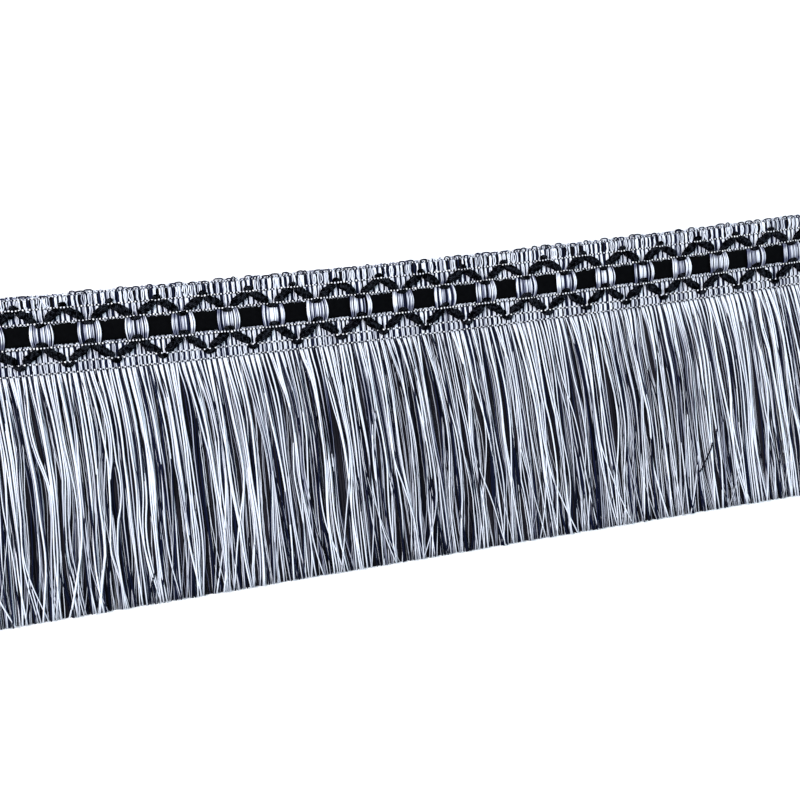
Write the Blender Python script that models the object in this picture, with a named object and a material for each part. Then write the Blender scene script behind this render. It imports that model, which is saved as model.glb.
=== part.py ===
# A length of brush fringe trim lying flat, face up.
#
# A narrow woven heading has a flat ribbon threaded under raised bars of its own yarns, and a thick
# gimp cord in zigzag on each side of the ribbon. A skirt of cut yarns hangs from its lower edge,
# made here as one comb. Single yarns, stitches and picot loops are finer than these solids.
#
# Frame: +X along the trim, +Y towards the picot edge, +Z up, face up. The underside is on Z = 0 and
# the origin is at the middle of the whole trim's plan. Lengths are in metres, angles in degrees.
# Places on the heading are given as s, along its upper edge from the middle ribbon square, and v,
# down from that edge across the heading.

import math
import random

import bmesh
import bpy
import numpy as np

# The whole length
REPEAT = 0.01693              # one ribbon square and one bar
REPEATS_LEFT = 11.5           # from the middle ribbon square to the left cut end
REPEATS_RIGHT = 10.5          # and to the right cut end
GAP = 0.0003                  # between pieces that touch

# How the trim lies: its upper edge rises by these amounts at BEND_SPAN from the middle
BEND_SPAN = 0.170
EDGE_BENDS = (
    # power, rise
    (2, 0.00230),
    (3, -0.00014),
    (4, 0.00044),
)

# Heading
HEADING_WIDTH = 0.0290        # upper edge to the row of stitches where the fringe starts
HEADING_TAPER = 0.0003        # narrower by this at BEND_SPAN to the right, wider to the left
HEADING_THICK = 0.0012

# Ribbon and the bars over it
RIBBON_CENTRE = 0.0151        # v of its middle
RIBBON_WIDTH = 0.0076
RIBBON_THICK = 0.0010
BAR_LENGTH = 0.0086           # along the heading, at its widest
BAR_NARROWING = 0.0006        # shorter by this at each foot, because the yarns bulge over the ribbon
BAR_THICK = 0.0008
BAR_SHOULDER = 0.0007         # how far the arch is cut off at its corners
BAR_ROOT = 0.0002             # how deep the feet go into the band

# Gimp cords: half a zigzag, from a bar's middle to a ribbon square's middle
CORD_HEIGHT = 0.0016
CORD_STATIONS = (
    # share of the way, distance from the ribbon's middle, width
    (0.00, 0.00590, 0.00110),
    (0.20, 0.00650, 0.00200),
    (0.50, 0.00790, 0.00250),
    (0.80, 0.00920, 0.00200),
)
CORD_TURN = (1.00, 0.00980, 0.00140)

# Fringe
CUT_DEPTH = 0.1205            # from the upper edge to the cut, at the middle ribbon square
CUT_SLOPE = 0.0056            # the cut line's rise along +X
LEAN_AT_ROOT = 8.3            # from straight down, towards +X, under the heading
LEAN_AT_TIP = 1.5
LEAN_SPREAD = 4.5             # more at BEND_SPAN to the right, less to the left
LEAN_EASE = 0.55              # share of the length after which the lean stays as it is
LOCKS_PER_REPEAT = 2
ROOT_SHARE = 0.05             # share of the length where the locks are still joined
ROWS = (0.0, ROOT_SHARE, 0.2, 0.4, 0.6, 0.8, 1.0)
PARTING = 0.0012              # between locks at the cut
LOCK_WANDER = 0.0009          # how far a parting strays from its even place
FRINGE_THICK = 0.0021
LOCK_EDGE = 0.70              # a lock's thickness at its sides, as a share of its middle
THICKNESS_WANDER = 0.12

# Colours are linear
COLOURS = (
    # piece, colour, roughness
    ("heading", (0.30, 0.31, 0.38), 0.75),
    ("ribbon", (0.006, 0.007, 0.009), 0.45),
    ("upper_cord", (0.007, 0.008, 0.010), 0.85),
    ("lower_cord", (0.007, 0.008, 0.010), 0.85),
    ("fringe", (0.24, 0.25, 0.30), 0.60),
)

LEFT_END = -REPEATS_LEFT * REPEAT
RIGHT_END = REPEATS_RIGHT * REPEAT
FACE = HEADING_THICK + GAP    # height at which cords and ribbon lie


# ---- places -------------------------------------------------------------------------------------

def edge_height(s):
    return sum(rise * (s / BEND_SPAN) ** power for power, rise in EDGE_BENDS)


def edge_slope(s):
    return sum(power * rise * (s / BEND_SPAN) ** (power - 1) for power, rise in EDGE_BENDS) / BEND_SPAN


def on_heading(s, v, z):
    turn = math.atan(edge_slope(s))
    return (s + v * math.sin(turn), edge_height(s) - v * math.cos(turn), z)


def lower_edge(s):
    return HEADING_WIDTH - HEADING_TAPER * s / BEND_SPAN


def half_repeats():
    # s of every half repeat, from cut end to cut end
    count = round(2 * (REPEATS_LEFT + REPEATS_RIGHT))
    return [LEFT_END + i * REPEAT / 2 for i in range(count + 1)]


def yarn_path(s):
    # Plan of a fringe yarn that leaves the heading at s: one point for each row
    root_x, root_y, _ = on_heading(s, lower_edge(s) + GAP, 0.0)
    points, x, share = [], root_x, 0.0
    for row in ROWS:
        middle = (share + row) / 2
        eased = min(1.0, middle / LEAN_EASE)
        eased = eased * eased * (3 - 2 * eased)
        lean = LEAN_AT_ROOT + (LEAN_AT_TIP - LEAN_AT_ROOT) * eased + LEAN_SPREAD * s / BEND_SPAN
        x += (row - share) * CUT_DEPTH * (1 - HEADING_WIDTH / CUT_DEPTH) * math.tan(math.radians(lean))
        share = row
        cut_y = CUT_SLOPE * x - CUT_DEPTH
        points.append((x, root_y + row * (cut_y - root_y)))
    return points


# ---- meshes -------------------------------------------------------------------------------------

def skin(rings):
    # A closed body through rings of points, capped at both ends
    bm = bmesh.new()
    verts = [[bm.verts.new(point) for point in ring] for ring in rings]
    count = len(rings[0])
    for a, b in zip(verts, verts[1:]):
        for i in range(count):
            j = (i + 1) % count
            bm.faces.new((a[i], a[j], b[j], b[i]))
    bm.faces.new(verts[0])
    bm.faces.new(verts[-1])
    return close_up(bm)


def close_up(bm):
    bmesh.ops.recalc_face_normals(bm, faces=bm.faces)
    bmesh.ops.triangulate(bm, faces=bm.faces)
    mesh = bpy.data.meshes.new("shape")
    bm.to_mesh(mesh)
    bm.free()
    return mesh


def band(v_top, v_bottom, low, high):
    # A flat strip along the heading. v_top and v_bottom are functions of s
    return skin([
        [
            on_heading(s, v_top(s), low),
            on_heading(s, v_bottom(s), low),
            on_heading(s, v_bottom(s), high),
            on_heading(s, v_top(s), high),
        ]
        for s in half_repeats()
    ])


def bar_profile():
    # Across the heading, v and z: an arch whose tunnel clears the ribbon on both sides and above
    inner = RIBBON_WIDTH / 2 + GAP
    outer = inner + BAR_THICK
    ceiling = FACE + RIBBON_THICK + GAP
    top = ceiling + BAR_THICK
    foot = HEADING_THICK - BAR_ROOT
    half = [
        (outer, foot),
        (outer, top - BAR_SHOULDER),
        (outer - BAR_SHOULDER, top),
    ]
    tunnel = [
        (inner, foot),
        (inner, ceiling),
    ]
    right = [(RIBBON_CENTRE + v, z) for v, z in half]
    left = [(RIBBON_CENTRE - v, z) for v, z in reversed(half)]
    inside = [(RIBBON_CENTRE - v, z) for v, z in tunnel]
    inside += [(RIBBON_CENTRE + v, z) for v, z in reversed(tunnel)]
    return right + left + inside


def bar(s_middle):
    # Lens-shaped in plan: longest over the ribbon's middle, and cut off at the trim's ends
    profile = bar_profile()
    reach = max(v for v, _ in profile) - RIBBON_CENTRE
    rings = []
    for side in (-1, 1):
        ring = []
        for v, z in profile:
            bulge = 1 - ((v - RIBBON_CENTRE) / reach) ** 2
            half = BAR_LENGTH / 2 - BAR_NARROWING * (1 - bulge)
            s = min(max(s_middle + side * half, LEFT_END), RIGHT_END)
            ring.append(on_heading(s, v, z))
        rings.append(ring)
    return skin(rings)


def zigzag_path(side):
    # s, v and width of the cord's stations. side is -1 towards the upper edge and 1 towards the fringe
    stations = []
    count = round(2 * (REPEATS_LEFT + REPEATS_RIGHT))
    for i in range(count):
        start = LEFT_END + i * REPEAT / 2
        at_bar = i % 2 == 0
        rows = CORD_STATIONS if at_bar else (CORD_TURN, *reversed(CORD_STATIONS[1:]))
        for share, distance, width in rows:
            along = share if at_bar else 1 - share
            stations.append((start + along * REPEAT / 2, RIBBON_CENTRE + side * distance, width))
    _, distance, width = CORD_STATIONS[0]
    stations.append((RIGHT_END, RIBBON_CENTRE + side * distance, width))
    return stations


def cord(side):
    # A flattened section that turns with the zigzag
    stations = zigzag_path(side)
    section = (
        # share of half the width, share of the height
        (-0.6, 0.0),
        (0.6, 0.0),
        (1.0, 0.5),
        (0.0, 1.0),
        (-1.0, 0.5),
    )
    rings = []
    for i, (s, v, width) in enumerate(stations):
        before = stations[max(i - 1, 0)]
        after = stations[min(i + 1, len(stations) - 1)]
        turn = math.atan2(after[1] - before[1], after[0] - before[0])
        if i in (0, len(stations) - 1):
            turn = 0.0
        ring = []
        for across, up in section:
            offset = across * width / 2
            ring.append(on_heading(
                s - offset * math.sin(turn), v + offset * math.cos(turn), FACE + up * CORD_HEIGHT
            ))
        rings.append(ring)
    return skin(rings)


def comb():
    # Locks joined along the root and parted below it. Each row of a lock has its two sides and
    # a thicker middle; joined locks share the points of the side between them
    chance = random.Random(5)
    count = round(LOCKS_PER_REPEAT * (REPEATS_LEFT + REPEATS_RIGHT))
    pitch = (RIGHT_END - LEFT_END) / count
    partings = []
    for k in range(count + 1):
        inside = 0 < k < count
        shift = chance.uniform(-LOCK_WANDER, LOCK_WANDER) if inside else 0.0
        stray = chance.uniform(-LOCK_WANDER, LOCK_WANDER)
        path = yarn_path(LEFT_END + k * pitch + shift)
        half = PARTING / 2 if inside else 0.0
        sides = []
        for row, (x, y) in zip(ROWS, path):
            opened = max(0.0, (row - ROOT_SHARE) / (1 - ROOT_SHARE))
            middle = x + stray * opened
            sides.append((middle - half * opened ** 0.6, middle + half * opened ** 0.6, y))
        partings.append(sides)

    bm = bmesh.new()
    side_points = {}

    def side_point(k, r, which, z):
        # which is 0 for the parting's left side and 1 for its right side
        left, right, y = partings[k][r]
        key = (k, r, which if right > left else 0, z > 0)
        if key not in side_points:
            side_points[key] = bm.verts.new(((left, right)[which], y, z))
        return side_points[key]

    edge_thick = FRINGE_THICK * LOCK_EDGE
    for k in range(count):
        thick = FRINGE_THICK * (1 - chance.uniform(0.0, THICKNESS_WANDER))
        rows = []
        for r in range(len(ROWS)):
            low_left = side_point(k, r, 1, 0.0)
            low_right = side_point(k + 1, r, 0, 0.0)
            top_left = side_point(k, r, 1, edge_thick)
            top_right = side_point(k + 1, r, 0, edge_thick)
            crest = bm.verts.new((
                (top_left.co.x + top_right.co.x) / 2, (top_left.co.y + top_right.co.y) / 2, thick
            ))
            rows.append((low_left, low_right, top_right, crest, top_left))
        for r, (a, b) in enumerate(zip(rows, rows[1:])):
            bm.faces.new((a[0], a[1], b[1], b[0]))
            bm.faces.new((a[2], a[3], b[3], b[2]))
            bm.faces.new((a[3], a[4], b[4], b[3]))
            parted = ROWS[r + 1] > ROOT_SHARE
            if parted or k + 1 == count:
                bm.faces.new((a[1], a[2], b[2], b[1]))
            if parted or k == 0:
                bm.faces.new((a[4], a[0], b[0], b[4]))
        bm.faces.new(rows[0])
        bm.faces.new(rows[-1])
    return close_up(bm)


# ---- objects ------------------------------------------------------------------------------------

def yarn_finish(name, colour, roughness):
    material = bpy.data.materials.new(name)
    material.use_nodes = True
    shader = material.node_tree.nodes["Principled BSDF"]
    shader.inputs["Base Color"].default_value = (*colour, 1.0)
    shader.inputs["Roughness"].default_value = roughness
    shader.inputs["Metallic"].default_value = 0.0
    return material


def add_object(name, mesh):
    piece = bpy.data.objects.new(name, mesh)
    bpy.context.scene.collection.objects.link(piece)
    return piece


def add_bars(heading):
    # All bars in one guide object, united with the band
    bm = bmesh.new()
    for s in half_repeats()[::2]:
        mesh = bar(s)
        bm.from_mesh(mesh)
        bpy.data.meshes.remove(mesh)
    bars_mesh = bpy.data.meshes.new("bars_mesh")
    bm.to_mesh(bars_mesh)
    bm.free()
    bars = add_object("bars_guide", bars_mesh)
    bars.hide_render = True
    bars.display_type = "WIRE"
    union = heading.modifiers.new("bars", "BOOLEAN")
    union.operation = "UNION"
    union.solver = "EXACT"
    union.object = bars
    return bars


def main():
    for old in list(bpy.data.objects):
        bpy.data.objects.remove(old)

    ribbon_top = RIBBON_CENTRE - RIBBON_WIDTH / 2
    ribbon_bottom = RIBBON_CENTRE + RIBBON_WIDTH / 2
    meshes = {
        "heading": band(lambda s: 0.0, lower_edge, 0.0, HEADING_THICK),
        "ribbon": band(lambda s: ribbon_top, lambda s: ribbon_bottom, FACE, FACE + RIBBON_THICK),
        "upper_cord": cord(-1),
        "lower_cord": cord(1),
        "fringe": comb(),
    }
    corners = np.array([v.co[:2] for mesh in meshes.values() for v in mesh.vertices])
    middle = (corners.min(axis=0) + corners.max(axis=0)) / 2

    pieces = {name: add_object(name, mesh) for name, mesh in meshes.items()}
    bars = add_bars(pieces["heading"])
    for name, colour, roughness in COLOURS:
        pieces[name].data.materials.append(yarn_finish(name, colour, roughness))
    for piece in (*pieces.values(), bars):
        piece.location = (-middle[0], -middle[1], 0.0)


main()
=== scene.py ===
import math

import bpy
import numpy as np
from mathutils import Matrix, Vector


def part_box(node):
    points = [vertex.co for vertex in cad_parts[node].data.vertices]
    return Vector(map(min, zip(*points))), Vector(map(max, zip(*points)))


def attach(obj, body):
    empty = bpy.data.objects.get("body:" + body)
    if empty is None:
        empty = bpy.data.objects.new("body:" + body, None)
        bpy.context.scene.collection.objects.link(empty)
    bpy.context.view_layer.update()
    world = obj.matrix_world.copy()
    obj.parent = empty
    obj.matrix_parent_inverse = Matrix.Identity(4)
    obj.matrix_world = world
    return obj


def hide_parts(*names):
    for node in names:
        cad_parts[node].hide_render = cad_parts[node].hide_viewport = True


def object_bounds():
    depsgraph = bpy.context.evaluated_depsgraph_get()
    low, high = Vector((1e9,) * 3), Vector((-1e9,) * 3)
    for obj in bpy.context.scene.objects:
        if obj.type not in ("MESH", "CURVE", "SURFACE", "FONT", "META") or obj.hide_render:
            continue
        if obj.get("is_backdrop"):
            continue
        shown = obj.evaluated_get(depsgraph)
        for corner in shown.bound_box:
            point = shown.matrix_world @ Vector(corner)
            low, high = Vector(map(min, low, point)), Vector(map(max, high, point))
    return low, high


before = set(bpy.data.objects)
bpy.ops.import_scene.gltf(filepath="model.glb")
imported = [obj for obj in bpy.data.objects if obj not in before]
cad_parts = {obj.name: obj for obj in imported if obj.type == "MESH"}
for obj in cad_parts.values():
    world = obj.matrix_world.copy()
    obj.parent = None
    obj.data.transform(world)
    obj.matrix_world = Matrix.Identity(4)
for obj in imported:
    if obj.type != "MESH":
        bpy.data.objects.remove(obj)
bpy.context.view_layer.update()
mm = 0.001
print("frame loaded")


# How the trim lies. Along it, s runs from the middle ribbon square; across it, v runs down from
# the upper edge. Both are in mm.
lay = {
    "repeat": 16.93,
    "repeatsLeft": 11.5,
    "repeatsRight": 10.5,
    "bendSpan": 170.0,
    "bends": ((2, 2.30), (3, -0.14), (4, 0.44)),  # power, rise of the upper edge at bendSpan
    "headingWidth": 29.0,
    "headingTaper": 0.3,
    "cutDepth": 120.5,
    "cutSlope": 0.0056,
}
# v of the rows of chain stitch: along the picots, above and below each cord, and at the fringe
rows = {"picots": 0.9, "upperTop": 5.6, "upperFoot": 10.85, "lowerTop": 19.85, "lowerFoot": 25.65, "root": 29.3}
repeat = lay["repeat"]
leftEnd = -lay["repeatsLeft"] * repeat
rightEnd = lay["repeatsRight"] * repeat
trimLength = rightEnd - leftEnd
ribbonMiddle = 15.1


def edgeHeight(s):
    return sum(rise * (s / lay["bendSpan"]) ** power for power, rise in lay["bends"])


def edgeSlope(s):
    span = lay["bendSpan"]
    return sum(power * rise * (s / span) ** (power - 1) for power, rise in lay["bends"]) / span


def flatPlace(s, v):
    turn = np.arctan(edgeSlope(s))
    return s + v * np.sin(turn), edgeHeight(s) - v * np.cos(turn)


def lowerEdge(s):
    return lay["headingWidth"] - lay["headingTaper"] * s / lay["bendSpan"]


# the solids are centred on their plan, so the heading's own corner gives the shift
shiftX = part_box("heading")[0].x / mm - flatPlace(leftEnd, lowerEdge(leftEnd))[0]
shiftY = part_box("heading")[1].y / mm - edgeHeight(leftEnd)


def onTrim(s, v, z):
    # metres in the row frame, for arrays of any one shape
    x, y = flatPlace(s, v)
    x, y, z = np.broadcast_arrays(x + shiftX, y + shiftY, z)
    return np.stack([x, y, z], axis=-1) * mm


def smoothStep(x):
    x = np.clip(x, 0.0, 1.0)
    return x * x * (3 - 2 * x)


def softNoise(places, spacing, seed):
    # random heights from -1 to 1 on even knots, joined by smooth steps
    heights = np.random.default_rng(seed).uniform(-1, 1, 4096)
    at = np.asarray(places, float) / spacing + 1024
    knot = np.floor(at).astype(int)
    share = smoothStep(at - knot)
    return heights[knot] * (1 - share) + heights[knot + 1] * share


def curveThrough(knots, places):
    # a smooth curve through evenly spaced knots, which are on the last axis
    knots = np.asarray(knots, float)
    before = 2 * knots[..., :1] - knots[..., 1:2]
    after = 2 * knots[..., -1:] - knots[..., -2:-1]
    k = np.concatenate([before, knots, after], axis=-1)
    i = np.clip(np.floor(places).astype(int), 0, knots.shape[-1] - 2)
    t = places - i
    a, b, c, d = k[..., i], k[..., i + 1], k[..., i + 2], k[..., i + 3]
    return 0.5 * (2 * b + (c - a) * t + (2 * a - 5 * b + 4 * c - d) * t ** 2 + (3 * b - a - 3 * c + d) * t ** 3)


def pushApart(x, middle, width, reach, side=None):
    # opens a gap of this width at middle, which fades out over reach to both sides
    away = x - middle
    side = np.sign(away) if side is None else side
    return x + side * width / 2 * np.exp(-np.abs(away) / reach)


def deselectAll():
    for other in bpy.context.selected_objects:
        other.select_set(False)


def meshPiece(name, points, faces, corners, place, tone, material):
    # corners holds each face corner's place on the piece's own map, in the order of the faces
    mesh = bpy.data.meshes.new(name)
    mesh.from_pydata(points.reshape(-1, 3).tolist(), [], faces)
    mesh.uv_layers.new(name="OFBake").data.foreach_set("uv", corners.reshape(-1).astype(np.float32))
    spot = mesh.attributes.new("yarnPlace", "FLOAT_VECTOR", "POINT")
    spot.data.foreach_set("vector", place.reshape(-1).astype(np.float32))
    # yarnTone: each yarn's own tone, with any painted shade worked into it
    shade = mesh.attributes.new("yarnTone", "FLOAT", "POINT")
    shade.data.foreach_set("value", tone.reshape(-1).astype(np.float32))
    mesh.shade_smooth()
    mesh.materials.append(material)
    piece = bpy.data.objects.new(name, mesh)
    bpy.context.scene.collection.objects.link(piece)
    return piece


mapMargin = 0.04  # left free around each cell of a piece's map, as a share


def mapCells(count, shape):
    # lower corners of count cells on the map, and a cell's size; shape is its width over its height
    across = max(1, round(math.sqrt(count / shape)))
    down = math.ceil(count / across)
    cell = np.arange(count)
    return np.stack([cell % across / across, cell // across / down], axis=-1), np.array([1 / across, 1 / down])


def yarnPiece(name, centres, halfWidth, halfHeight, sides, material, seed, tone=None, edgeShade=0.0):
    # Many yarns in one mesh. centres is (yarns, stations, 3) in metres, half sizes are in mm.
    # edgeShade paints shade on a yarn's sides, where it lies against its neighbours.
    yarns, stations, _ = centres.shape
    halfWidth = np.broadcast_to(halfWidth, (yarns, stations))
    halfHeight = np.broadcast_to(halfHeight, (yarns, stations))
    along = np.gradient(centres, axis=1)
    along /= np.linalg.norm(along, axis=2, keepdims=True) + 1e-12
    across = np.cross(along, np.array([0.0, 0.0, 1.0]))
    across /= np.linalg.norm(across, axis=2, keepdims=True) + 1e-12
    up = np.cross(across, along)
    angles = math.pi / 2 + np.arange(sides) * 2 * math.pi / sides  # the first runs along the top
    wide = halfWidth[..., None] * mm * np.cos(angles)
    high = halfHeight[..., None] * mm * np.sin(angles)
    points = centres[:, :, None] + wide[..., None] * across[:, :, None] + high[..., None] * up[:, :, None]

    index = np.arange(yarns * stations * sides).reshape(yarns, stations, sides)
    ahead = np.roll(index, -1, axis=2)
    quads = np.stack([index[:, :-1], index[:, 1:], ahead[:, 1:], ahead[:, :-1]], axis=-1)
    faces = quads.reshape(-1, 4).tolist() + index[:, 0].tolist() + index[:, -1, ::-1].tolist()

    # the map: each yarn is a strip, with a column at both ends for its two cut ends
    steps = np.linalg.norm(np.diff(centres, axis=1), axis=2) / mm
    girth = 2 * math.pi * float(halfWidth.mean() + halfHeight.mean()) / 2
    low, size = mapCells(yarns, float(steps.sum(axis=1).mean()) / girth)
    station, side = np.meshgrid(np.arange(stations - 1), np.arange(sides), indexing="ij")
    columns = stations + 1.2
    stripX = np.stack([station, station + 1, station + 1, station], axis=-1) + 1.1
    stripY = np.stack([side, side, side + 1, side + 1], axis=-1)
    strip = np.stack([stripX / columns, mapMargin + (1 - 2 * mapMargin) * stripY / sides], axis=-1)
    wall = low[:, None, None, None] + strip * size
    ring = np.stack([np.cos(angles), np.sin(angles)], axis=-1)
    caps = []
    for middle, turn in ((0.5, 1), (columns - 0.5, -1)):
        cap = np.array([middle / columns, 0.5]) + ring[::turn] * (0.45 / columns, 0.42)
        caps.append((low[:, None] + cap * size).reshape(-1, 2))
    corners = np.concatenate([wall.reshape(-1, 2), *caps])

    # where each point is on its yarn, for the filaments: along, across and up, far from other yarns
    chance = np.random.default_rng(seed)
    place = np.empty((yarns, stations, sides, 3))
    place[..., 0] = np.concatenate([np.zeros((yarns, 1)), np.cumsum(steps, axis=1)], axis=1)[:, :, None]
    place[..., 1] = halfWidth[:, :, None] * np.cos(angles) + chance.uniform(0, 500, yarns)[:, None, None]
    place[..., 2] = halfHeight[:, :, None] * np.sin(angles)
    if tone is None:
        tone = chance.uniform(0, 1, yarns)
    shade = tone.reshape(yarns, -1, 1) - edgeShade * (1 - np.sin(angles).clip(0))
    return meshPiece(name, points, faces, corners, place, np.broadcast_to(shade, index.shape), material)


def scatteredPiece(name, model, places, turns, scales, material, seed):
    # copies of one small modelled mesh in a single piece; turns are angles about Z
    shape = np.array([v.co for v in model.data.vertices])
    polygons = [tuple(p.vertices) for p in model.data.polygons]
    flatMap = np.array([c.uv for c in model.data.uv_layers[0].data])
    cos, sin = np.cos(turns)[:, None], np.sin(turns)[:, None]
    x = shape[:, 0] * cos - shape[:, 1] * sin
    y = shape[:, 0] * sin + shape[:, 1] * cos
    points = np.stack([x, y, np.broadcast_to(shape[:, 2], x.shape)], axis=-1)
    points = points * scales[:, None, None] + places[:, None]
    faces = [tuple(c + i * len(shape) for c in face) for i in range(len(places)) for face in polygons]
    low, size = mapCells(len(places), 1.0)
    corners = low[:, None] + (mapMargin + (1 - 2 * mapMargin) * flatMap) * size
    chance = np.random.default_rng(seed)
    tone = np.broadcast_to(chance.uniform(0, 1, len(places))[:, None], x.shape)
    bpy.data.objects.remove(model)
    return meshPiece(name, points, faces, corners, points / mm, tone, material)


def toLinear(hexColour):
    channels = [int(hexColour[i:i + 2], 16) / 255 for i in (1, 3, 5)]
    return [c / 12.92 if c <= 0.04045 else ((c + 0.055) / 1.055) ** 2.4 for c in channels] + [1.0]


def addNode(tree, kind, settings=None, values=None, links=None):
    node = tree.nodes.new(kind)
    for key, value in (settings or {}).items():
        setattr(node, key, value)
    for key, value in (values or {}).items():
        node.inputs[key].default_value = value
    for key, source in (links or {}).items():
        tree.links.new(source, node.inputs[key])
    return node


def startMaterial(name, values):
    material = bpy.data.materials.new(name)
    material.use_nodes = True
    shader = material.node_tree.nodes["Principled BSDF"]
    for key, value in values.items():
        shader.inputs[key].default_value = value
    return material, material.node_tree, shader


def joinToShader(tree, shader, colour, relief):
    tree.links.new(colour, shader.inputs["Base Color"])
    tree.links.new(relief.outputs["Normal"], shader.inputs["Normal"])


def filamentYarn(name, dark, light, filament, roughness, gloss, bump):
    # Filament yarn: smooth fibres side by side, so light runs along it in fine streaks; the streaks are bumps and
    # also painted light streaks in the colour.
    # Real filaments are near 0.03 mm; streaks are drawn several times that so that they show.
    material, tree, shader = startMaterial(name, {"Roughness": roughness, "IOR": 1.53, "Specular IOR Level": gloss})
    place = addNode(tree, "ShaderNodeAttribute", {"attribute_name": "yarnPlace"})
    toneOf = addNode(tree, "ShaderNodeAttribute", {"attribute_name": "yarnTone"})
    stretch = addNode(tree, "ShaderNodeMapping", {}, {"Scale": (0.10, 1 / filament, 1 / filament)},
                      {"Vector": place.outputs["Vector"]})
    streaks = addNode(tree, "ShaderNodeTexNoise", {}, {"Scale": 1.0, "Detail": 2.0, "Roughness": 0.6},
                      {"Vector": stretch.outputs["Vector"]})
    mixed = addNode(tree, "ShaderNodeMath", {"operation": "MULTIPLY_ADD"}, {1: 0.45},
                    {0: streaks.outputs["Fac"], 2: toneOf.outputs["Fac"]})
    ramp = addNode(tree, "ShaderNodeValToRGB", {}, {}, {"Fac": mixed.outputs[0]})
    for stop, position, colour in zip(ramp.color_ramp.elements, (0.15, 1.0), (dark, light)):
        stop.position = position
        stop.color = toLinear(colour)
    relief = addNode(tree, "ShaderNodeBump", {}, {"Strength": bump, "Distance": 0.0001},
                     {"Height": streaks.outputs["Fac"]})
    joinToShader(tree, shader, ramp.outputs["Color"], relief)
    return material


# the white yarn's dark end is painted shade: a white yarn whose tone is lowered by painted shade turns navy
whiteYarn = filamentYarn("bluishWhiteRayonYarn", "#151e50", "#f1f6ff", 0.12, 0.45, 0.4, 0.6)
blackYarn = filamentYarn("blackRayonYarn", "#04060e", "#131933", 0.12, 0.45, 0.06, 0.5)
brownBlackYarn = filamentYarn("brownBlackRayonYarn", "#06070f", "#29272e", 0.12, 0.5, 0.08, 0.5)
stitchThread = filamentYarn("whitePolyesterStitchThread", "#dde1ee", "#ffffff", 0.15, 0.5, 0.5, 0.4)
# dark thread, used for the dark beads between stitches, which are also painted shade of the gaps and holes, and for
# the loose thread end
darkThreadAndHoleShade = filamentYarn("darkStitchThreadAndHoleShade", "#030308", "#0d0d16", 0.15, 0.5, 0.05, 0.4)


def wovenBlack(name, dark, light, threadPitch, roughness):
    # Close woven filament ribbon: fine crosswise ribs that give a dull, even black.
    material, tree, shader = startMaterial(name, {"Roughness": roughness, "IOR": 1.53, "Specular IOR Level": 0.02})
    coords = addNode(tree, "ShaderNodeTexCoord")
    ribs = addNode(tree, "ShaderNodeTexWave", {"bands_direction": "X"},
                   {"Scale": 1 / (threadPitch * mm * 2 * math.pi) * 2, "Distortion": 1.0, "Detail": 1.0},
                   {"Vector": coords.outputs["Object"]})
    patches = addNode(tree, "ShaderNodeTexNoise", {}, {"Scale": 1 / (1.5 * mm), "Detail": 3.0},
                      {"Vector": coords.outputs["Object"]})
    mixed = addNode(tree, "ShaderNodeMix", {"data_type": "RGBA"}, {"A": toLinear(dark), "B": toLinear(light)},
                    {"Factor": patches.outputs["Fac"]})
    relief = addNode(tree, "ShaderNodeBump", {}, {"Strength": 0.4, "Distance": 0.0001},
                     {"Height": ribs.outputs["Fac"]})
    joinToShader(tree, shader, mixed.outputs["Result"], relief)
    return material


def wrappedGimp(name, dark, middle, light, wrapPitch):
    # Gimp: yarn wrapped close round a thick core, so ribs run across the cord and break up the light,
    # and its loose fibres catch it in specks. Both are painted into the colour as painted sheen and glints; the
    # ribs are bumps as well.
    material, tree, shader = startMaterial(name, {"Roughness": 0.75, "IOR": 1.53, "Specular IOR Level": 0.006})
    place = addNode(tree, "ShaderNodeAttribute", {"attribute_name": "yarnPlace"})
    slant = addNode(tree, "ShaderNodeMapping", {}, {"Rotation": (0, 0, 0.35)}, {"Vector": place.outputs["Vector"]})
    ribs = addNode(tree, "ShaderNodeTexWave", {"bands_direction": "X"},
                   {"Scale": 2 * math.pi / (20 * wrapPitch), "Distortion": 2.5, "Detail": 2.0, "Detail Scale": 3.0},
                   {"Vector": slant.outputs["Vector"]})
    sheen = addNode(tree, "ShaderNodeTexNoise", {}, {"Scale": 0.85, "Detail": 2.0, "Roughness": 0.6},
                    {"Vector": place.outputs["Vector"]})
    mixed = addNode(tree, "ShaderNodeMath", {"operation": "MULTIPLY_ADD"}, {1: 0.25},
                    {0: ribs.outputs["Fac"], 2: sheen.outputs["Fac"]})
    ramp = addNode(tree, "ShaderNodeValToRGB", {}, {}, {"Fac": mixed.outputs[0]})
    for stop, position, colour in zip(ramp.color_ramp.elements, (0.58, 0.80), (dark, light)):
        stop.position = position
        stop.color = toLinear(colour)
    ramp.color_ramp.elements.new(0.68).color = toLinear(middle)
    relief = addNode(tree, "ShaderNodeBump", {}, {"Strength": 0.8, "Distance": 0.0002},
                     {"Height": ribs.outputs["Fac"]})
    joinToShader(tree, shader, ramp.outputs["Color"], relief)
    return material


# the cord is black; its middle and light colours are painted sheen and glints
gimpYarn = wrappedGimp("blackWrappedGimp", "#000001", "#0c0d11", "#2a2d34", 0.55)
ribbonBlack = wovenBlack("blackWovenRibbon", "#010102", "#08090b", 0.35, 0.70)
groundBlack = wovenBlack("darkGroundWeave", "#0b0a0e", "#1a181b", 0.5, 0.8)
print("finishes ready")


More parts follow.
